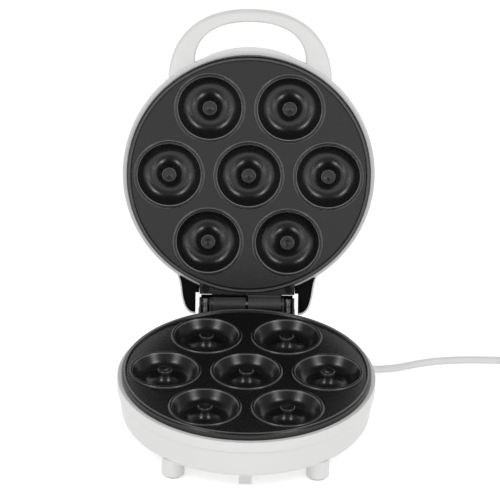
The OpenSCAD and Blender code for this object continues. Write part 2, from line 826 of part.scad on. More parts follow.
// Bracket behind the base: a foot on the shelf, four cheeks, the left knuckle and a rib that the
// lid rests on when it is open
module hinge_bracket() {
    foot_z = shelf_top - hinge_z;
    foot_y0 = bracket_y - hinge_y;
    stop_slope = -cos(open_angle) / sin(open_angle);
    rest = hinge_back / sin(open_angle) - 0.3;
    function stop(y) = rest - stop_slope * y;
    cheeks = [cheek_x, cheek_x + cheek_t + channel_w];
    color(black) at_base() translate([0, hinge_y, hinge_z]) difference() {
        union() {
            along_x(-block_x, block_x) translate([foot_y0, foot_z])
                square([stop_rib[1] - foot_y0, bracket_t]);
            mirrored() {
                cheek(cheeks[0], cheeks[0] + cheek_t, foot_z, foot_y0);
                cheek(cheeks[1], cheeks[1] + outer_cheek_t, foot_z, foot_y0);
            }
            rod_x(-knuckle_x - knuckle_l, -knuckle_x, knuckle_r);
            along_x(-knuckle_x - knuckle_l, -knuckle_x)
                polygon([[-4, foot_z + 1], [-4, -2], [4, -2], [6, foot_z + 1]]);
            along_x(1 - cheek_x, cheek_x - 1) polygon([[stop_rib[0], foot_z + 1],
                [stop_rib[0], stop(stop_rib[0])], [stop_rib[1], stop(stop_rib[1])],
                [stop_rib[1], foot_z + 1]]);
        }
        rod_x(-block_x, cheek_x + cheek_t, pin_r + screw_clear / 2);
        mirrored() translate([sleeve_x, 0, foot_z - 1])
            cylinder(h = bracket_t + 2, r = sleeve_r + screw_clear);
        mirrored() translate([bracket_screw_at[0], bracket_screw_at[1], foot_z - 1])
            cylinder(h = bracket_t + 2, r = boss_bore + screw_clear);
    }
}

// One upright cheek, round at the top about the hinge axis
module cheek(x0, x1, foot_z, foot_y0) {
    along_x(x0, x1) {
        circle(cheek_r);
        polygon([[foot_y0, foot_z], [foot_y0, 0], [cheek_r, 0], [cheek_r + 2, foot_z]]);
    }
}

module hinge_bracket_screws() {
    color(steel) at_base() bracket_screw_places() translate([0, 0, bracket_t]) {
        cylinder(h = bracket_head_h, r = bracket_head_r);
        translate([0, 0, -bracket_t - bracket_screw_l])
            cylinder(h = bracket_t + bracket_screw_l + 0.5, r = boss_bore);
    }
}

module hinge_pin() {
    half = cheek_x + cheek_t;
    color(steel) at_base() translate([0, hinge_y, hinge_z]) rod_x(-half, half, pin_r);
}

// Close-wound steel sleeve that guards the leads, bent back at the top towards the lid
module lead_sleeve(side) {
    foot = shelf_top - wall - 3;
    top = hinge_z - sleeve_drop;
    turns = floor((top - foot) / sleeve_pitch);
    color(steel) at_base() translate([side * sleeve_x, hinge_y, 0]) {
        translate([0, 0, foot]) rotate_extrude() polygon(concat([[0, 0]],
            [for (i = [0:turns - 1], k = [0:1])
                [k == 0 ? sleeve_r - 0.35 : sleeve_r, sleeve_pitch * (i + k * 0.5)]],
            [[sleeve_r - 0.35, turns * sleeve_pitch], [sleeve_r - 0.35, top - foot],
             [0, top - foot]]));
        translate([0, sleeve_bend, top]) rotate([90, 0, -90]) rotate_extrude(angle = 50)
            translate([sleeve_bend, 0]) circle(sleeve_r - 0.2);
    }
}

module left_lead_sleeve() {
    lead_sleeve(-1);
}

module right_lead_sleeve() {
    lead_sleeve(1);
}

// ---------- lid, drawn closed: z is measured up from the hinge axis ----------

// A domed solid of the given side, corner and crown radii, all struck from the same centres
module dome(side, corner, crown, z0) {
    corner_at = [side - corner, crown_z + sqrt(pow(crown - corner, 2) - pow(side - corner, 2))];
    join = acos((side - corner) / (crown - corner));
    rotate_extrude() polygon(concat([[0, z0], [side, z0]],
        arc(corner_at, corner, 0, join, 12), arc([0, crown_z], crown, join, 90, 10)));
}

// Outer edge of one ear, from inside the round of the housing to its end behind the hinge
function ear_edge(x_in, inset) =
    let (x_out = ear_in + ear_w - inset, end = ear_end - inset, x_root = x_out + ear_root,
         root = [x_root, sqrt(pow(shell_r - 1, 2) - pow(x_root, 2))])
    concat([[x_in, shell_r * 0.7], [x_root, shell_r * 0.7]],
        bezier([root, root + [-ear_root - 1.5, ear_root], [x_out + 4, end], [x_in, end]], 14));

// The lid's back edge: two ears, and the pad between them that rests on the bracket's rib
module rear_outline() {
    mirrored() polygon(ear_edge(ear_in, 0));
    translate([-ear_in - 1, 60]) square([2 * ear_in + 2, hinge_y - tab_edge - 60]);
    translate([-cheek_x, 60]) square([2 * cheek_x, shell_r - 60]);
}

// The open side of one ear, which reaches in to the plate's tab
module ear_opening(inset) {
    x_tab = tab_x + 0.2 + inset;
    polygon(ear_edge(ear_in, ear_wall + inset));
    translate([x_tab, 60]) square([ear_in + 1 - x_tab, hinge_y - tab_edge - 60]);
}

// Everything behind the round of the lid, cut off just under the same crown
module behind(inset) {
    crown = crown_r - ear_drop - inset;
    intersection() {
        translate([0, 0, lid_rim - 2]) linear_extrude(60) children();
        dome(shell_r + 40 - inset, ear_round - inset, crown, lid_rim - 2);
    }
}

module ear_pockets() {
    difference() {
        intersection() {
            behind(ear_wall) mirrored() ear_opening(0);
            translate([-shell_r, 0, lid_rim - 1])
                cube([2 * shell_r, 2 * shell_r, insert_t + ear_sink + seat_clear + 1]);
        }
        translate([0, 0, -10]) cylinder(h = 80, r = shell_r + seat_clear);
    }
}

// The lip at the front, under the handle
module front_lip() {
    translate([0, lip_r - shell_r - lip_out, lid_rim + 0.5])
        cylinder(h = lip_h, r1 = lip_r, r2 = lip_r - 2);
}

module lid_outer() {
    dome(shell_r, corner_r, crown_r, lid_rim);
    front_lip();
    intersection() {
        behind(0) rear_outline();
        translate([-shell_r, 0, lid_rim]) cube([2 * shell_r, 2 * shell_r, shell_r]);
    }
}

module lid_shell() {
    color(white) at_lid() difference() {
        union() {
            difference() {
                lid_outer();
                dome(shell_r - wall, corner_r - wall, crown_r - wall, lid_rim - 2);
                behind(wall) translate([-ear_in, 60])
                    square([2 * ear_in, hinge_y - tab_edge - wall - 60]);
            }
            intersection() {
                lid_outer();
                translate([0, 0, lid_rim]) cylinder(h = flange_t, r = shell_r + lip_out);
            }
            mirrored() translate([tab_screw[0], tab_screw[1], lid_rim])
                cylinder(h = tab_boss_h, r = boss_r);
            handle_screw_places() cylinder(h = boss_r, r = boss_r + 0.2);
        }
        ear_pockets();
        translate([0, 0, lid_rim - 1]) cylinder(h = flange_t + 2, r = seat_r);
        mirrored() translate([tab_screw[0], tab_screw[1], lid_rim - 1])
            cylinder(h = tab_boss_h - 1, r = boss_bore + screw_clear / 2);
        for (p = lamp_places) translate([p[0], p[1], crown_at(p) - 15]) cylinder(h = 30, r = lens_r);
        handle_screw_places() translate([0, 0, -1])
            cylinder(h = handle_screw_l - 3, r = handle_screw_r + screw_clear);
    }
}

// Dark inserts that close the hollow ears
module ear_insert() {
    color(black) at_lid() intersection() {
        difference() {
            translate([0, 0, lid_rim + ear_sink]) linear_extrude(insert_t)
                ear_opening(seat_clear);
            translate([0, 0, -10]) cylinder(h = 80, r = shell_r + 2 * seat_clear);
        }
        dome(shell_r + 40 - ear_wall, ear_round, crown_r - ear_drop - ear_wall - seat_clear,
            lid_rim);
    }
}

module left_ear_insert() {
    mirror([1, 0, 0]) ear_insert();
}

module right_ear_insert() {
    ear_insert();
}

// ---------- handle ----------

// Half a rounded arch: a wide power of an ellipse, opening towards the back
function arch_point(a, b, centre, angle) =
    let (c = cos(angle), k = 2 / handle_power)
    [sign(c) * a * pow(abs(c), k), centre - b * pow(sin(angle), k)];

// A ring of the handle's skin between an inner and an outer point, its edges rounded
function handle_ring(inner, outer) =
    let (middle = (inner + outer) / 2, across = unit(outer - inner),
         half = norm(outer - inner) / 2 - handle_round, up = handle_t / 2 - handle_round)
    [for (q = [0:3], i = [0:3]) let (turn = 90 * q + 30 * i, x = q == 0 || q == 3 ? 1 : -1,
        place = middle + (x * half + handle_round * cos(turn)) * across)
        [place[0], place[1], handle_z + handle_t / 2 + (q < 2 ? up : -up)
            + handle_round * sin(turn)]];

module handle() {
    front = -shell_r - handle_reach;
    inner_a = handle_a - handle_arm;
    back = [0, wall * 4];
    stations = [for (angle = [0:6:180])
        [arch_point(inner_a, grip_centre - front - handle_w, grip_centre, angle),
         arch_point(handle_a, handle_centre - front, handle_centre, angle)]];
    last = stations[len(stations) - 1];
    rows = concat([[stations[0][0] + back, stations[0][1] + back]], stations,
        [[last[0] + back, last[1] + back]]);
    color(white) at_lid() difference() {
        skin([for (row = rows) handle_ring(row[0], row[1])]);
        dome(shell_r + 0.02, corner_r, crown_r, lid_rim - 2);
        front_lip();
        handle_screw_places() cylinder(h = handle_screw_l + 1, r = handle_screw_r + screw_clear / 2);
    }
}

// Screws from inside the housing into the handle's arms
module handle_screw_places() {
    for (side = [-1, 1]) rotate(-90 + side * handle_screw_angle)
        translate([shell_r - wall - boss_r, 0, handle_screw_z]) rotate([0, 90, 0]) children();
}

module handle_screws() {
    color(steel) at_lid() handle_screw_places() {
        translate([0, 0, -screw_head_h]) cylinder(h = screw_head_h, r = screw_head_r);
        translate([0, 0, -1]) cylinder(h = handle_screw_l, r = handle_screw_r);
    }
}

// ---------- lamps ----------

module tab_screws() {
    color(steel) at_upper_plate() mirrored() translate([tab_screw[0], tab_screw[1], 0]) {
        translate([0, 0, -tab_recess]) cylinder(h = 0.7, r = tab_screw_head - 0.5);
        translate([0, 0, -tab_recess - tab_screw_l]) cylinder(h = tab_screw_l + 0.3, r = boss_bore);
    }
}

// Height of the crown's outer face at a place on the lid
function crown_at(p) = crown_z + sqrt(pow(crown_r, 2) - pow(norm(p), 2));

module lens(i) {
    p = lamp_places[i];
    color(i == 0 ? [0.8, 0.1, 0.08] : [0.1, 0.6, 0.2]) at_lid()
        translate([p[0], p[1], crown_at(p) + 0.2 - lens_h]) {
            cylinder(h = lens_h, r = lens_r - screw_clear);
            cylinder(h = 1.2, r = lens_r + 1);
        }
}

module lamp(i) {
    p = lamp_places[i];
    color(ceramic) at_lid() translate([p[0], p[1], crown_at(p) - 8.5]) cylinder(h = 2.4, r = 2);
}

// Small board under the lenses, on two stalks from the pan
module lamp_holder() {
    p = (lamp_places[0] + lamp_places[1]) / 2;
    z = crown_at(lamp_places[0]) - 10;
    pan_back = plate_gap + stack_h + pan_t;
    color(black) at_lid() translate([p[0], p[1], 0]) {
        translate([-15, -5, z]) cube([30, 10, 1.5]);
        for (x = [-13, 13]) translate([x, 0, pan_back]) cylinder(h = z - pan_back + 0.5, r = 2);
    }
}

base_shell();
bottom_cover();
foot_pad(0);  // front_left_pad
foot_pad(1);  // front_right_pad
foot_pad(2);  // rear_right_pad
foot_pad(3);  // rear_left_pad
lower_plate();
lower_element();
lower_pan();
plate_screws();
thermostat();
thermal_fuse();
fuse_clip();
terminal_block();
inner_lead();
cord_clamp();
clamp_screws();
strain_relief();
power_cord();
cord_coil();
cord_tie();
cord_tail();
plug_body();
plug_pins();
plug_earth_clips();
hinge_bracket();
hinge_bracket_screws();
hinge_pin();
left_lead_sleeve();
right_lead_sleeve();
lid_shell();
left_ear_insert();
right_ear_insert();
handle();
handle_screws();
upper_plate();
upper_element();
upper_pan();
pan_screws();
tab_screws();
lens(0);  // power_lens
lens(1);  // ready_lens
lamp(0);  // power_lamp
lamp(1);  // ready_lamp
lamp_holder();
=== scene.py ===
"""A tabletop donut maker with its lid open, in a plain bright studio."""

import json
import math

import bmesh
import bpy
from mathutils import Matrix, Quaternion, Vector


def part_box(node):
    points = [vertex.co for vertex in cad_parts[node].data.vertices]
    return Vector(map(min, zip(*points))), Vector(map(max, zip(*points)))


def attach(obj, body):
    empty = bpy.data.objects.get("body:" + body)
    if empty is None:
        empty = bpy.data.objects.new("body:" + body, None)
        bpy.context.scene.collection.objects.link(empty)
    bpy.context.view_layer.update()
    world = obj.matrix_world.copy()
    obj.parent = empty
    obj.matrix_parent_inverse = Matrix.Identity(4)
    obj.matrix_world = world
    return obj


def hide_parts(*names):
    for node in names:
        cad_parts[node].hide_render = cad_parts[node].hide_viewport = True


MM = 0.001

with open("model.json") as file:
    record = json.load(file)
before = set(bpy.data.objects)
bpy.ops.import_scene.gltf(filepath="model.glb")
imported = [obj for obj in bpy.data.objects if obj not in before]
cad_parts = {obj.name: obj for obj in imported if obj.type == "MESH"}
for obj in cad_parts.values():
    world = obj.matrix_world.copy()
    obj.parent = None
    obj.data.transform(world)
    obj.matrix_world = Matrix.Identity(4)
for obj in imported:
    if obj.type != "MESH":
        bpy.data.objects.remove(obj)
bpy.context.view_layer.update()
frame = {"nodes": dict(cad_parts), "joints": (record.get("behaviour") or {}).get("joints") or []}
nodes = frame["nodes"]
scene = bpy.context.scene

# The plates' middle, the hinge axis, and where the open lid carries the upper plate
plate_low, plate_high = (Vector(corner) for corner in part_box("lower_plate"))
PLATE_Y = (plate_low.y + plate_high.y) / 2
PLATE_FACE = 53
hinge = next(joint for joint in frame["joints"] if joint["name"] == "lid_hinge")
HINGE = Vector(hinge["pos_m"])
HINGE_TO_MIDDLE = 108.1 * MM
OPEN_ANGLE = math.radians(103)
OPENED = Matrix.Rotation(-OPEN_ANGLE, 3, "X")
UPPER_MIDDLE = HINGE + OPENED @ Vector((0, -HINGE_TO_MIDDLE, 0))


def from_plate(x, y, z):
    """A place given in millimetres from the middle of the plates and up from the table."""
    return Vector((x * MM, PLATE_Y + y * MM, z * MM))


# ---------- camera ----------

CAMERA_PLACE = (-16.65, -2578.05, 1559.52)
CAMERA_AIM = (1.47, 48.91, 136.72)
CAMERA_ROLL = math.radians(0.99)
FOCAL_LENGTH = 269.1
SENSOR_WIDTH = 36


def set_up_camera():
    lens = bpy.data.cameras.new("studio_camera")
    camera = bpy.data.objects.new("studio_camera", lens)
    scene.collection.objects.link(camera)
    camera.location = from_plate(*CAMERA_PLACE)
    sight = from_plate(*CAMERA_AIM) - camera.location
    camera.rotation_mode = "QUATERNION"
    camera.rotation_quaternion = (sight.to_track_quat("-Z", "Y")
                                  @ Quaternion((0, 0, 1), CAMERA_ROLL))
    lens.lens = FOCAL_LENGTH
    lens.sensor_width = SENSOR_WIDTH
    lens.clip_start = 0.05
    lens.clip_end = 50
    scene.camera = camera


set_up_camera()


# ---------- mains lead ----------

# The strain relief points out of the back right and droops. All lengths here are in
# millimetres, from the middle of the plates and up from the table.
CORD_RADIUS = 3
RELIEF_ROOT, RELIEF_HEIGHT, RELIEF_LENGTH = 103.8, 24.5, 20
EXIT_ANGLE = math.radians(35)
DROOP = math.radians(24)

# The way down to the table and along it to the coil, and from the coil on to the plug
LEAD_ROUTE = [(105, 73.7, 13.6), (110, 77.6, 11.4), (115, 82, 9.3), (121, 87.3, 6.9),
              (127, 92.3, 5), (134, 97.2, 3.7), (143, 102, 3.1), (157, 106.3, 3.1),
              (173, 108.6, 3.1), (190, 109.6, 3.1), (207, 109.4, 3.1), (224, 108.4, 3.1),
              (241, 107.2, 3.1), (257, 106.3, 3.1)]
LEAD_TAIL = [(308.3, 62, 8.6), (308.5, 55, 9), (309, 46, 11), (309.5, 37, 14),
             (310, 29, 16.8), (310, 21, 18.4), (310, 15, 18.6)]

# The coil: widths of its turns, how far apart touching turns are, and the degrees of sweep
# over which it steps inwards and climbs on top
COIL_MIDDLE = (275, 70)
ON_TABLE = 3.1
OUTER_TURN, TOP_TURN = 36, 33
TURNS_APART = 6.15
STEP_IN, STEP_START, STEP_END = 6.1, 285, 365
CLIMB, CLIMB_START, CLIMB_END = math.radians(60), 555, 640
WIDEST_GROOVE = 3.05
COIL_SWEEP, COIL_STEP = 810, 10


def ease(value, start, end):
    t = min(max((value - start) / (end - start), 0), 1)
    return t * t * (3 - 2 * t)


def turn_on_table(sweep):
    return OUTER_TURN - STEP_IN * ease(sweep, STEP_START, STEP_END)


def coil_turns():
    """Two turns side by side on the table, then one that lies in the groove between them."""
    points = []
    for sweep in range(0, COIL_SWEEP + 1, COIL_STEP):
        if sweep <= CLIMB_START:
            radius, height = turn_on_table(sweep), ON_TABLE
        elif sweep <= CLIMB_END:
            climb = CLIMB * ease(sweep, CLIMB_START, CLIMB_END)
            radius = OUTER_TURN - TURNS_APART * math.cos(climb)
            height = ON_TABLE + TURNS_APART * math.sin(climb)
        else:
            aside = min(abs(TOP_TURN - turn_on_table(sweep - 360)), WIDEST_GROOVE)
            radius = TOP_TURN
            height = ON_TABLE + math.sqrt(TURNS_APART ** 2 - aside ** 2)
        angle = math.radians(90 - sweep)
        points.append((COIL_MIDDLE[0] + radius * math.cos(angle),
                       COIL_MIDDLE[1] + radius * math.sin(angle), height))
    return points


def lead_points():
    out = RELIEF_ROOT + RELIEF_LENGTH * math.cos(DROOP)
    start = (out * math.cos(EXIT_ANGLE), out * math.sin(EXIT_ANGLE),
             RELIEF_HEIGHT - RELIEF_LENGTH * math.sin(DROOP))
    route = [start] + LEAD_ROUTE + coil_turns() + LEAD_TAIL
    return [from_plate(*p) for p in route]


def make_lead():
    """One smooth tube from the strain relief to the plug."""
    points = lead_points()
    line = bpy.data.curves.new("mains_lead_line", "CURVE")
    line.dimensions = "3D"
    line.resolution_u = 3
    line.use_fill_caps = True
    spline = line.splines.new("NURBS")
    spline.order_u = 3
    spline.use_endpoint_u = True
    spline.points.add(len(points) - 1)
    for p, place in zip(spline.points, points):
        p.co = (*place, 1)
    trace = bpy.data.objects.new("mains_lead_line", line)
    scene.collection.objects.link(trace)
    centre = [v.co.copy() for v in trace.to_mesh().vertices]
    trace.to_mesh_clear()

    line.bevel_depth = CORD_RADIUS * MM
    line.bevel_resolution = 5
    bpy.context.view_layer.update()
    solid = trace.evaluated_get(bpy.context.evaluated_depsgraph_get())
    lead = bpy.data.objects.new("mains_lead", bpy.data.meshes.new_from_object(solid))
    bpy.data.objects.remove(trace)
    scene.collection.objects.link(lead)
    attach(lead, "base")
    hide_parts("power_cord", "cord_coil", "cord_tail")
    length = sum((b - a).length for a, b in zip(centre, centre[1:]))
    tuple(centre[0])
    return lead


lead = make_lead()


# ---------- hoods behind the two heater leads ----------

# A hood is a thin roof round the hinge axis, between two radii. A web at its outer end goes
# in to the root's radius, and a foot goes down to the shelf.
HOOD_IN, HOOD_OUT, HOOD_FOOT = 6.1 * MM, 6.9 * MM, 10 * MM
HOOD_HALF, HOOD_WEB, HOOD_ROOT = 3.55 * MM, 0.5 * MM, 4 * MM
HOOD_TURN, HOOD_STEPS = math.radians(76), 19

# The left hood runs on over the bracket's knuckle, and the right one only over the cheeks
LEFT_HOOD_END = 0.6 * MM
RIGHT_HOOD_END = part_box("hinge_bracket")[1][0] - 11.3 * MM


def add_trim(name, shape, body):
    """A black plastic piece from a finished shape, moving with one body."""
    bmesh.ops.recalc_face_normals(shape, faces=shape.faces)
    mesh = bpy.data.meshes.new(name)
    shape.to_mesh(mesh)
    shape.free()
    piece = bpy.data.objects.new(name, mesh)
    scene.collection.objects.link(piece)
    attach(piece, body)
    return piece


def make_hood(name, sleeve, inner_end):
    """A black hood that closes one lead channel at the back, from the shelf up over the pin,
    and runs on inwards to its inner end."""
    low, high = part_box(sleeve)
    middle = (low[0] + high[0]) / 2
    inwards = -1 if middle > 0 else 1
    reach = abs(middle) - inner_end
    section = [(-HOOD_HALF, HOOD_ROOT), (-HOOD_HALF, HOOD_OUT), (reach, HOOD_OUT),
               (reach, HOOD_IN), (HOOD_WEB - HOOD_HALF, HOOD_IN),
               (HOOD_WEB - HOOD_HALF, HOOD_ROOT)]
    shape = bmesh.new()
    face = shape.faces.new([
        shape.verts.new((middle + inwards * x, HINGE.y + out, HINGE.z)) for x, out in section])
    bmesh.ops.spin(shape, geom=[face, *face.edges, *face.verts], cent=HINGE, axis=(1, 0, 0),
                   angle=HOOD_TURN, steps=HOOD_STEPS)
    foot = bmesh.ops.extrude_face_region(shape, geom=[face])
    bmesh.ops.translate(shape, vec=(0, 0, -HOOD_FOOT),
                        verts=[v for v in foot["geom"] if isinstance(v, bmesh.types.BMVert)])
    bmesh.ops.delete(shape, geom=[face], context="FACES_ONLY")
    return add_trim(name, shape, "base")


hoods = [make_hood("left_lead_hood", "left_lead_sleeve", LEFT_HOOD_END),
         make_hood("right_lead_hood", "right_lead_sleeve", RIGHT_HOOD_END)]


# ---------- black edges of the ear inserts, over the rim of the lid ----------

# With the lid shut: from the plates' middle, up from the hinge axis, and round from the back
TRIM_IN, TRIM_OUT = 102 * MM, 103.7 * MM
TRIM_LOW, TRIM_HIGH = 3.75 * MM, 4.05 * MM
TRIM_START, TRIM_END, TRIM_STEPS = math.radians(22.2), math.radians(32.5), 8


def make_ear_trim(name, side):
    """A thin strip along the round of the lid, from the hinge tab to the ear's outer wall."""
    shape = bmesh.new()
    corners = []
    for radius, up in ((TRIM_IN, TRIM_LOW), (TRIM_OUT, TRIM_LOW),
                       (TRIM_OUT, TRIM_HIGH), (TRIM_IN, TRIM_HIGH)):
        place = Vector((side * radius * math.sin(TRIM_START),
                        radius * math.cos(TRIM_START), up))
        corners.append(shape.verts.new(UPPER_MIDDLE + OPENED @ place))
    face = shape.faces.new(corners)
    bmesh.ops.spin(shape, geom=[face, *face.edges, *face.verts], cent=UPPER_MIDDLE,
                   axis=OPENED @ Vector((0, 0, -side)), angle=TRIM_END - TRIM_START,
                   steps=TRIM_STEPS)
    return add_trim(name, shape, "lid")


trims = [make_ear_trim("left_ear_trim", -1), make_ear_trim("right_ear_trim", 1)]


# ---------- shader maths ----------

class Value:
    """A shader socket on which sums are written as ordinary maths."""

    def __init__(self, finish, socket):
        self.finish = finish
        self.socket = socket

    def maths(self, operation, *others):
        sockets = dict(enumerate((self,) + others))
        return self.finish.node("ShaderNodeMath", {"operation": operation}, sockets)

    def __add__(self, other):
        return self.maths("ADD", other)

    def __sub__(self, other):
        return self.maths("SUBTRACT", other)

    def __mul__(self, other):
        return self.maths("MULTIPLY", other)

    def __rsub__(self, other):
        return (self * -1).maths("ADD", other)

    __radd__ = __add__
    __rmul__ = __mul__

    def over(self, low, high):
        """0 below low, 1 above high, smooth between."""
        return self.finish.node("ShaderNodeMapRange", {"interpolation_type": "SMOOTHSTEP"},
                                {"Value": self, "From Min": low, "From Max": high})


class Finish:
    """One material, built up from the object's own coordinates."""

    def __init__(self, name):
        self.material = bpy.data.materials.new(name)
        self.material.use_nodes = True
        self.tree = self.material.node_tree
        self.tree.nodes.clear()
        self.shader = self.tree.nodes.new("ShaderNodeBsdfPrincipled")
        output = self.tree.nodes.new("ShaderNodeOutputMaterial")
        self.tree.links.new(self.shader.outputs[0], output.inputs["Surface"])
        self.place = self.node("ShaderNodeTexCoord", out="Object")

    def node(self, kind, settings=None, sockets=None, out=0):
        made = self.tree.nodes.new(kind)
        for name, setting in (settings or {}).items():
            setattr(made, name, setting)
        for name, value in (sockets or {}).items():
            self.feed(made.inputs[name], value)
        return Value(self, made.outputs[out])

    def feed(self, socket, value):
        if isinstance(value, Value):
            self.tree.links.new(value.socket, socket)
        elif socket.type == "RGBA" and len(value) == 3:
            socket.default_value = (*value, 1)
        else:
            socket.default_value = value

    def set(self, **values):
        for name, value in values.items():
            self.feed(self.shader.inputs[name.replace("_", " ").title().replace("Ior", "IOR")],
                      value)

    def vector(self, operation, *values, out=0):
        return self.node("ShaderNodeVectorMath", {"operation": operation},
                         dict(enumerate(values)), out)

    def axes(self, place):
        """The X, Y and Z of a place."""
        parts = self.node("ShaderNodeSeparateXYZ", {}, {0: place}).socket.node
        return [Value(self, socket) for socket in parts.outputs]

    def noise(self, scale, detail=2, rough=0.5, at=None):
        return self.node("ShaderNodeTexNoise", {}, {"Vector": at or self.place, "Scale": scale,
                                                     "Detail": detail, "Roughness": rough})

    def blend(self, amount, first, second):
        return self.node("ShaderNodeMix", {"data_type": "RGBA"},
                         {0: amount, 6: first, 7: second}, out=2)

    def relief(self, height, depth, edge=None):
        """Fine relief of the given depth, over edges softened by a small radius."""
        sockets = {"Height": height, "Distance": depth * MM, "Strength": 1.0}
        if edge:
            sockets["Normal"] = self.node("ShaderNodeBevel", {"samples": 6},
                                          {"Radius": edge * MM})
        self.set(normal=self.node("ShaderNodeBump", {}, sockets))


# ---------- finishes ----------

# The nonstick coating is painted lighter where the castings stand proud, as wear with a painted
# highlight on it: at each mould's mouth, on the bead round it and on the post, given as a radius
# and how strong the lighter line is, then on the plate's rim. The knuckle behind it is painted a
# little lighter
WEAR_AND_HIGHLIGHT_RINGS = ((26.2, 1), (28.7, 0.8), (5.6, 0.45))
MOULD_PLACES = ((0, 0), (65, 0), (32.5, 56.29))
RING_WIDTH = 0.5
RIM_RADIUS, RIM_WIDTH = 97.7, 1.4
KNUCKLE_FROM, KNUCKLE_TO, KNUCKLE_LIGHTENING = 101, 102.5, 0.2

SLEEVE_RADIUS, BRAID_STRANDS, BRAID_PITCH = 3.2 * MM, 6, 2.6 * MM


def plain_finish(name, tones, cloud, rough, haze, grain=None, depth=0, edge=None, **more):
    """A finish that drifts between two tones and between two roughnesses, with a fine grain.

    Cloud, haze and grain are each the scale and detail of a noise, rough is the least
    roughness and what the haze adds, and depth and edge are in millimetres."""
    f = Finish(name)
    least, spread = rough
    f.set(base_color=f.blend(f.noise(*cloud), *tones),
          roughness=least + spread * f.noise(*haze), **more)
    if grain:
        f.relief(f.noise(*grain), depth, edge)
    return f.material


def black_plastic(name, dull, rough, shine=0.5):
    bright = [1.6 * level for level in dull]
    return plain_finish(name, (dull, bright), cloud=(80, 3), rough=(rough, 0.12),
                        haze=(300, 3), grain=(2200, 3), depth=0.012, edge=0.35,
                        specular_ior_level=shine)


def lamp_window(name, deep, bright):
    return plain_finish(name, (deep, bright), cloud=(500, 2), rough=(0.12, 0.06),
                        haze=(400, 2), grain=(900, 2), depth=0.01, edge=0.2, coat_weight=0.6)


def ring_line(distance, radius, half_width):
    """1 on a thin circle of the given radius, fading out on both sides."""
    return 1 - (distance - radius * MM).maths("ABSOLUTE").over(0, half_width * MM)


def mould_distances(f, at):
    """How far a place on a plate is from each kind of mould, folded into one quarter."""
    folded = f.vector("ABSOLUTE", at)
    for x, y in MOULD_PLACES:
        yield f.vector("DISTANCE", folded, (x * MM, y * MM, 0), out="Value")


def nonstick_coating(name, middle, tilt, wear_and_highlight_tone, rim_wear_and_highlight):
    """Satin black coating, lighter on the crests round the moulds and posts: wear with a painted
    highlight.
    """
    f = Finish(name)
    flat = f.node("ShaderNodeVectorRotate", {"rotation_type": "X_AXIS"},
                  {"Vector": f.place, "Center": middle, "Angle": tilt})
    local = f.vector("SUBTRACT", flat, middle)
    planar = f.vector("MULTIPLY", local, (1, 1, 0))
    wear_and_highlight = 0
    # Lighter lines round the moulds and posts: wear and painted highlight
    for distance in mould_distances(f, planar):
        for radius, wear_and_highlight_strength in WEAR_AND_HIGHLIGHT_RINGS:
            wear_and_highlight = wear_and_highlight + ring_line(distance, radius, RING_WIDTH) * wear_and_highlight_strength
    reach = f.vector("LENGTH", planar, out="Value")
    # The plate's rim line: painted highlight, with some wear
    wear_and_highlight = wear_and_highlight + ring_line(reach, RIM_RADIUS, RIM_WIDTH) * rim_wear_and_highlight
    rear = f.axes(local)[1]
    # The knuckle behind the rim, painted a little lighter
    wear_and_highlight = wear_and_highlight + rear.over(KNUCKLE_FROM * MM, KNUCKLE_TO * MM) * KNUCKLE_LIGHTENING
    patchy = 0.55 + 0.45 * f.noise(160, 3)
    fleck = f.noise(1500, 3).over(0.62, 0.78)
    tone = f.blend(f.noise(30, 3), (0.005, 0.005, 0.0052), (0.008, 0.008, 0.0082))
    flecked = f.blend(fleck * 0.35, tone, (0.03, 0.03, 0.032))
    # The lighter tone is laid on as wear and painted highlight
    f.set(base_color=f.blend(wear_and_highlight * patchy, flecked, wear_and_highlight_tone),
          roughness=0.23 + 0.07 * f.noise(420, 3))
    f.relief(f.noise(1300, 4, 0.6), 0.012, 0.4)
    return f.material


def braided_steel(sleeve):
    """A close braid round two upright sleeves: bright strands that cross over dark gaps."""
    low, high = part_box(sleeve)
    f = Finish("braided_steel")
    x, y, z = f.axes(f.vector("ABSOLUTE", f.place))
    across = x - (low[0] + high[0]) / 2
    along = y - (low[1] + SLEEVE_RADIUS)
    turn = across.maths("ARCTAN2", along) * BRAID_STRANDS
    rise = z * (2 * math.pi / BRAID_PITCH)
    cross = (turn + rise).maths("SINE") * (turn - rise).maths("SINE")
    strand = cross.over(-0.35, 0.3)
    f.set(base_color=f.blend(strand, (0.012, 0.012, 0.013), (0.30, 0.30, 0.31)),
          metallic=1.0, roughness=0.42 + 0.15 * f.noise(900, 3))
    f.relief(strand, 0.15)
    return f.material


def bare_metal(name, tone, rough, stretch):
    """Drawn or rolled metal, with fine lines along one direction."""
    f = Finish(name)
    along = f.node("ShaderNodeMapping", {}, {"Vector": f.place, "Scale": stretch})
    lines = f.noise(900, 3, 0.6, along)
    f.set(base_color=f.blend(lines, [c * 0.9 for c in tone], tone), metallic=1.0,
          roughness=rough - 0.06 + 0.14 * lines)
    f.relief(lines, 0.006, 0.2)
    return f.material


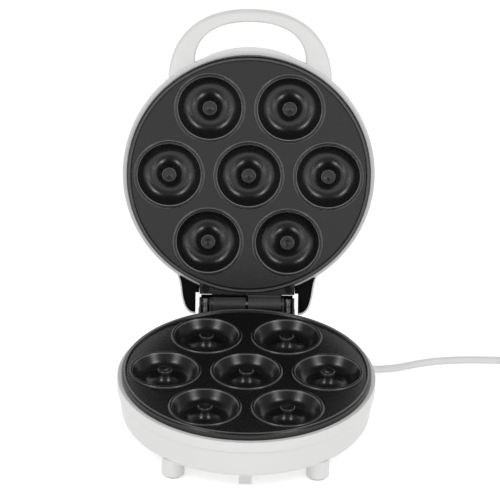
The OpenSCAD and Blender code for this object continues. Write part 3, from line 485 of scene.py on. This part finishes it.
white = plain_finish("white_housing_plastic", ((0.785, 0.785, 0.78), (0.80, 0.80, 0.795)),
                     cloud=(35, 3), rough=(0.30, 0.08), haze=(90, 3), grain=(2600, 2),
                     depth=0.008, edge=0.5)
cable = plain_finish("lead_soft_plastic", ((0.78, 0.78, 0.775), (0.80, 0.80, 0.795)),
                     cloud=(60, 3), rough=(0.42, 0.1), haze=(200, 3), grain=(1800, 2),
                     depth=0.01)
satin = black_plastic("black_moulded_plastic", (0.034, 0.034, 0.035), 0.3)
matt = black_plastic("matt_black_plastic", (0.002, 0.002, 0.0021), 0.6, shine=0.08)
blackened = plain_finish("blackened_steel", ((0.004, 0.004, 0.004), (0.009, 0.009, 0.009)),
                         cloud=(700, 3), rough=(0.55, 0.12), haze=(500, 3), grain=(1800, 3),
                         depth=0.01, edge=0.2, specular_ior_level=0.15)
ceramic = plain_finish("cream_ceramic", ((0.62, 0.59, 0.50), (0.72, 0.69, 0.60)),
                       cloud=(300, 4), rough=(0.5, 0.2), haze=(250, 3), grain=(1500, 3),
                       depth=0.02, edge=0.25)
rubber = plain_finish("foot_rubber", ((0.14, 0.14, 0.145), (0.20, 0.20, 0.205)),
                      cloud=(250, 4), rough=(0.62, 0.2), haze=(400, 3), grain=(1600, 3),
                      depth=0.03, edge=0.3)
glass = plain_finish("lamp_glass", ((0.75, 0.68, 0.55), (0.85, 0.8, 0.7)), cloud=(600, 2),
                     rough=(0.1, 0.05), haze=(500, 2))
# The two plates get different lighter tones and rim strengths: lit and shaded copies of the
# painted highlight
lower_coat = nonstick_coating("lower_nonstick_coating", from_plate(0, 0, PLATE_FACE), 0,
                              (0.15, 0.15, 0.153), 1.4)
upper_coat = nonstick_coating("upper_nonstick_coating", UPPER_MIDDLE, OPEN_ANGLE,
                              (0.34, 0.34, 0.345), 0.25)
FINISHES = {
    white: ["base_shell", "bottom_cover", "lid_shell", "handle", "cord_clamp"],
    cable: ["strain_relief", "plug_body", "inner_lead", "power_cord", "cord_coil", "cord_tail"],
    lower_coat: ["lower_plate"],
    upper_coat: ["upper_plate"],
    satin: ["hinge_bracket", "lamp_holder", "cord_tie"],
    matt: ["left_ear_insert", "right_ear_insert"],
    bare_metal("bright_steel", (0.62, 0.62, 0.63), 0.3, (0.1, 1, 1)):
        ["hinge_pin", "hinge_bracket_screws", "handle_screws", "plate_screws", "pan_screws",
         "clamp_screws", "fuse_clip"],
    braided_steel("right_lead_sleeve"): ["left_lead_sleeve", "right_lead_sleeve"],
    bare_metal("heater_tube_steel", (0.42, 0.41, 0.40), 0.42, (1, 1, 1)):
        ["lower_element", "upper_element"],
    bare_metal("rolled_aluminium", (0.78, 0.78, 0.79), 0.36, (1, 0.05, 1)):
        ["lower_pan", "upper_pan"],
    bare_metal("nickel_plating", (0.66, 0.63, 0.58), 0.22, (1, 0.2, 1)):
        ["plug_pins", "plug_earth_clips"],
    blackened: ["tab_screws"],
    ceramic: ["thermostat", "thermal_fuse", "terminal_block"],
    rubber: ["front_left_pad", "front_right_pad", "rear_right_pad", "rear_left_pad"],
    lamp_window("red_window", (0.5, 0.02, 0.015), (0.65, 0.04, 0.03)): ["power_lens"],
    lamp_window("green_window", (0.02, 0.3, 0.06), (0.04, 0.42, 0.1)): ["ready_lens"],
    glass: ["power_lamp", "ready_lamp"],
}


def dress(thing, material):
    thing.data.materials.clear()
    thing.data.materials.append(material)


for material, names in FINISHES.items():
    for name in names:
        dress(nodes[name], material)
dress(lead, cable)
for piece in hoods + trims:
    dress(piece, matt)


# ---------- smooth curved surfaces ----------

SHARP_EDGE = math.radians(28)
SAME_PLACE = 0.002 * MM


def smooth_group():
    """Modifier nodes that join a part's triangles, and shade it smooth but for sharp edges."""
    group = bpy.data.node_groups.new("smooth_curves", "GeometryNodeTree")
    group.interface.new_socket("Geometry", in_out="INPUT", socket_type="NodeSocketGeometry")
    group.interface.new_socket("Geometry", in_out="OUTPUT", socket_type="NodeSocketGeometry")
    start = group.nodes.new("NodeGroupInput")
    end = group.nodes.new("NodeGroupOutput")
    merge = group.nodes.new("GeometryNodeMergeByDistance")
    merge.inputs["Distance"].default_value = SAME_PLACE
    soft = group.nodes.new("GeometryNodeSetShadeSmooth")
    hard = group.nodes.new("GeometryNodeSetShadeSmooth")
    hard.domain = "EDGE"
    hard.inputs["Shade Smooth"].default_value = False
    angle = group.nodes.new("GeometryNodeInputMeshEdgeAngle")
    sharp = group.nodes.new("FunctionNodeCompare")
    sharp.operation = "GREATER_THAN"
    sharp.inputs[1].default_value = SHARP_EDGE
    chain = [start, merge, soft, hard, end]
    for first, second in zip(chain, chain[1:]):
        group.links.new(first.outputs[0], second.inputs[0])
    group.links.new(angle.outputs[0], sharp.inputs[0])
    group.links.new(sharp.outputs[0], hard.inputs["Selection"])
    return group


smooth_curves = smooth_group()
for thing in nodes.values():
    if not thing.hide_render:
        thing.modifiers.new("smooth_curves", "NODES").node_group = smooth_curves


# ---------- studio ----------

# The floor's glow for the camera and mirrored rays, and its share in the soft light
FLOOR_HALF = 4
FLOOR_GLOW, FLOOR_SOFT = 0.54, 0.16

# The room's soft light, and how much brighter it is at the sides
ROOM_LEVEL, SIDE_LEVEL = 0.445, 0.36

# What mirrored rays meet. Each pair is where the soft edge of a region starts and ends on a
# direction of length one: by its height, but for the sweep, whose edge leans back, and the
# sides of the strips, which stand on the diagonals in front.
CEILING_LEVEL, FRONT_LEVEL, STRIP_LEVEL = 0.05, 0.3, 3.4
SWEEP_EDGE, HORIZON_TOP, FRONT_TOP = (-0.1, 0.25), (0.06, 0.22), (0.6, 0.9)
STRIP_FOOT, STRIP_TOP, STRIP_SIDE = (-0.12, 0.5), (0.68, 0.82), (0.06, 0.19)
DIAGONAL = 0.71

HIGH_BOX = {"aim": (0, 0, 0.1), "width": 0.42, "height": 0.36, "power": 4}
LOW_BOX = {"aim": (0, 0, 0.17), "width": 1.1, "height": 0.11, "power": 2.8}


class Studio(Finish):
    """The shader of the floor or of the room."""

    def __init__(self, tree):
        self.tree = tree

    def ray(self, kind):
        return self.node("ShaderNodeLightPath", out=kind)

    def mirrored(self):
        """1 for rays that a glossy or clear surface sends out."""
        return self.ray("Is Glossy Ray").maths("MAXIMUM", self.ray("Is Transmission Ray"))

    def pick(self, amount, first, second):
        return self.node("ShaderNodeMix", {"data_type": "FLOAT"},
                         {0: amount, 2: first, 3: second})


def lay_floor():
    shape = bmesh.new()
    bmesh.ops.create_grid(shape, x_segments=1, y_segments=1, size=FLOOR_HALF)
    mesh = bpy.data.meshes.new("studio_floor")
    shape.to_mesh(mesh)
    shape.free()
    floor = bpy.data.objects.new("studio_floor", mesh)
    scene.collection.objects.link(floor)
    material = bpy.data.materials.new("studio_floor_white")
    material.use_nodes = True
    shader = material.node_tree.nodes["Principled BSDF"]
    shader.inputs["Base Color"].default_value = (0.8, 0.8, 0.8, 1)
    shader.inputs["Roughness"].default_value = 0.9
    shader.inputs["Specular IOR Level"].default_value = 0.0
    shader.inputs["Emission Color"].default_value = (1, 1, 1, 1)
    f = Studio(material.node_tree)
    seen = f.ray("Is Camera Ray").maths("MAXIMUM", f.mirrored())
    f.feed(shader.inputs["Emission Strength"], seen * (FLOOR_GLOW - FLOOR_SOFT) + FLOOR_SOFT)
    mesh.materials.append(material)


def light_world():
    """Plain white for the camera, an even level for soft light, and for mirrored rays a white
    sweep behind the table, a bright horizon all round, a tall soft strip on either side in
    front, and a dim ceiling."""
    world = bpy.data.worlds.new("studio_world")
    scene.world = world
    world.use_nodes = True
    back = world.node_tree.nodes["Background"]
    back.inputs["Color"].default_value = (1, 1, 1, 1)
    f = Studio(world.node_tree)
    x, y, z = f.axes(f.node("ShaderNodeTexCoord", out="Generated"))
    across = x.maths("ABSOLUTE")
    sweep = (y - z).over(*SWEEP_EDGE)
    horizon = 1 - z.over(*HORIZON_TOP)
    front = (1 - z.over(*FRONT_TOP)) * FRONT_LEVEL
    walls = sweep.maths("MAXIMUM", horizon.maths("MAXIMUM", front))
    aside = ((across + y) * DIAGONAL).maths("ABSOLUTE")
    strip = (1 - aside.over(*STRIP_SIDE)) * z.over(*STRIP_FOOT) * (1 - z.over(*STRIP_TOP))
    seen = CEILING_LEVEL + (1 - CEILING_LEVEL) * walls + strip * STRIP_LEVEL
    level = f.pick(f.mirrored(), ROOM_LEVEL + across * SIDE_LEVEL, seen)
    f.feed(back.inputs["Strength"], f.pick(f.ray("Is Camera Ray"), level, 1.0))


def hang_light(name, place, aim, width, height, power):
    lamp = bpy.data.lights.new(name, "AREA")
    lamp.shape = "RECTANGLE"
    lamp.size = width
    lamp.size_y = height
    lamp.energy = power
    thing = bpy.data.objects.new(name, lamp)
    scene.collection.objects.link(thing)
    thing.location = place
    thing.rotation_mode = "QUATERNION"
    thing.rotation_quaternion = (Vector(aim) - Vector(place)).to_track_quat("-Z", "Y")


scene.view_settings.view_transform = "Standard"
lay_floor()
light_world()
hang_light("left_high_box", (-0.95, -0.95, 1.3), **HIGH_BOX)
hang_light("right_high_box", (0.85, -0.95, 1.3), **HIGH_BOX)
hang_light("left_low_box", (-0.95, -1.75, 0.30), **LOW_BOX)
hang_light("right_low_box", (0.9, -1.77, 0.30), **LOW_BOX)
